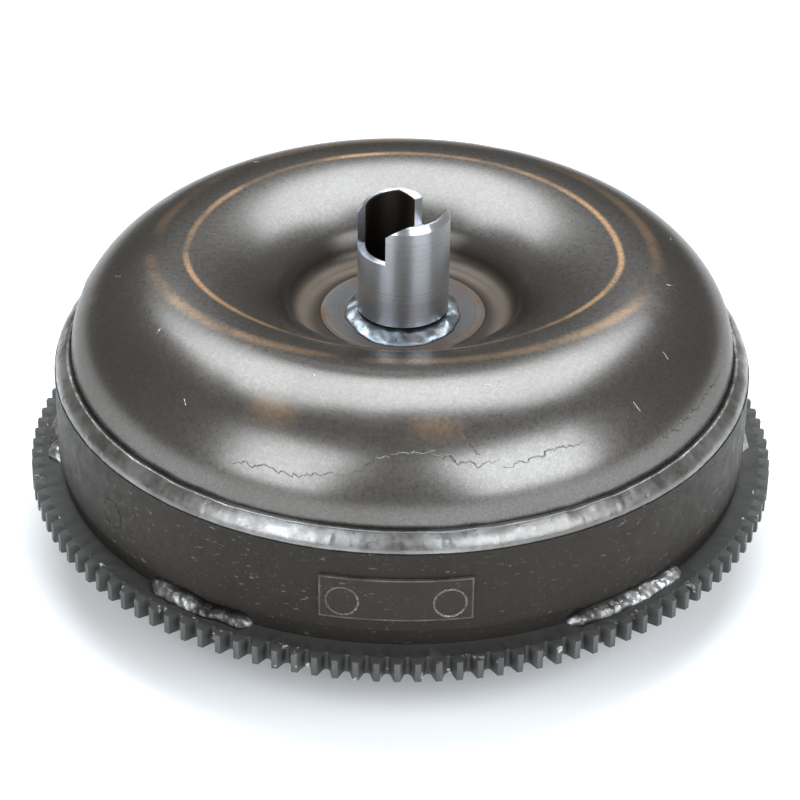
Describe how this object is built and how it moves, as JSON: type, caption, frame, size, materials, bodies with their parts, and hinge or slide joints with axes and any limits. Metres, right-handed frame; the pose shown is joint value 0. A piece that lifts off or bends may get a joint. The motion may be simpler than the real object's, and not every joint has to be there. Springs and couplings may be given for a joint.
{
  "type": "torque converter",
  "caption": "Welded torque converter with a starter ring gear, a torus-shaped impeller shell and a ground pump hub with two drive slots; turbine, stator and lock-up clutch inside.",
  "frame": {"origin": "on the spin axis, in the plane of the four drive pads' faces", "axes": "+Z along the spin axis from the engine side to the pump hub; the pads stand midway between those axes, at 45, 135, 225 and 315 degrees from +X; the drive slots run at 35 degrees from +X towards +Y"},
  "size_m": [0.315, 0.315, 0.1512],
  "materials": {
    "dark_steel": "satin",
    "lacquered_steel": "satin",
    "gear_steel": "matte",
    "ground_steel": "polished",
    "machined_steel": "satin",
    "flange_steel": "satin",
    "weld_metal": "satin",
    "hardened_steel": "polished",
    "pressed_steel": "satin",
    "spring_steel": "satin",
    "cage_steel": "satin",
    "cast_aluminium": "matte",
    "friction_paper": "matte",
    "seal_polymer": "matte"
  },
  "bodies": {
    "housing": {"front_cover": "dark_steel", "crank_pilot": "machined_steel", "pilot_weld": "weld_metal", "drive_pads": "dark_steel", "drive_pad_welds": "weld_metal", "ring_gear": "gear_steel", "ring_gear_welds": "weld_metal", "balance_weight": "dark_steel", "balance_spot_welds": "dark_steel", "closure_weld": "weld_metal", "impeller_shell": "lacquered_steel", "impeller_blades": "pressed_steel", "impeller_core_ring": "pressed_steel", "hub_flange": "flange_steel", "impeller_hub": "ground_steel", "hub_weld": "weld_metal", "front_bearing_race": "hardened_steel", "rear_bearing_race": "hardened_steel"},
    "turbine": {"turbine_shell": "pressed_steel", "turbine_blades": "pressed_steel", "turbine_core_ring": "pressed_steel", "turbine_hub": "hardened_steel", "turbine_rivets": "pressed_steel", "damper_driven_plate": "pressed_steel", "piston_seal": "seal_polymer", "middle_bearing_race": "hardened_steel"},
    "damper": {"spring_carrier": "pressed_steel", "damper_springs": "spring_steel"},
    "lockup_clutch": {"lockup_piston": "pressed_steel", "friction_lining": "friction_paper"},
    "stator_race": {"stator_inner_race": "hardened_steel"},
    "stator": {"stator_wheel": "cast_aluminium", "clutch_outer_race": "hardened_steel", "clutch_rollers": "hardened_steel", "clutch_springs": "spring_steel", "clutch_front_plate": "hardened_steel", "clutch_rear_plate": "hardened_steel", "stator_snap_ring": "spring_steel"},
    "front_cage": {"front_bearing_cage": "cage_steel", "front_bearing_needles": "hardened_steel"},
    "middle_cage": {"middle_bearing_cage": "cage_steel", "middle_bearing_needles": "hardened_steel"},
    "rear_cage": {"rear_bearing_cage": "cage_steel", "rear_bearing_needles": "hardened_steel"}
  },
  "joints": [
    {"name": "turbine_spin", "type": "hinge", "parent": "housing", "child": "turbine", "pos_m": [0, 0, 0.056], "axis": [0, 0, 1], "continuous": true},
    {"name": "stator_race_spin", "type": "hinge", "parent": "housing", "child": "stator_race", "pos_m": [0, 0, 0.07], "axis": [0, 0, 1], "continuous": true},
    {"name": "stator_freewheel", "type": "hinge", "parent": "stator_race", "child": "stator", "pos_m": [0, 0, 0.07], "axis": [0, 0, 1], "continuous": true},
    {"name": "damper_twist", "type": "hinge", "parent": "turbine", "child": "damper", "pos_m": [0, 0, 0.029], "axis": [0, 0, 1], "range_deg": [-6, 6], "stiffness_Nm_per_rad": 800, "deforming": ["damper_springs"]},
    {"name": "piston_slide", "type": "slide", "parent": "damper", "child": "lockup_clutch", "axis": [0, 0, -1], "range_m": [0, 0.001]},
    {"name": "front_cage_spin", "type": "hinge", "parent": "housing", "child": "front_cage", "pos_m": [0, 0, 0.015], "axis": [0, 0, 1], "continuous": true},
    {"name": "rear_cage_spin", "type": "hinge", "parent": "housing", "child": "rear_cage", "pos_m": [0, 0, 0.0852], "axis": [0, 0, 1], "continuous": true},
    {"name": "middle_cage_spin", "type": "hinge", "parent": "turbine", "child": "middle_cage", "pos_m": [0, 0, 0.0606], "axis": [0, 0, 1], "continuous": true}
  ],
  "couplings": [
    {"joint": "front_cage_spin", "follows": "turbine_spin", "ratio": 0.5},
    {"joint": "rear_cage_spin", "follows": "stator_race_spin", "ratio": 0.5},
    {"joint": "middle_cage_spin", "follows": "stator_race_spin", "ratio": 0.5}
  ]
}
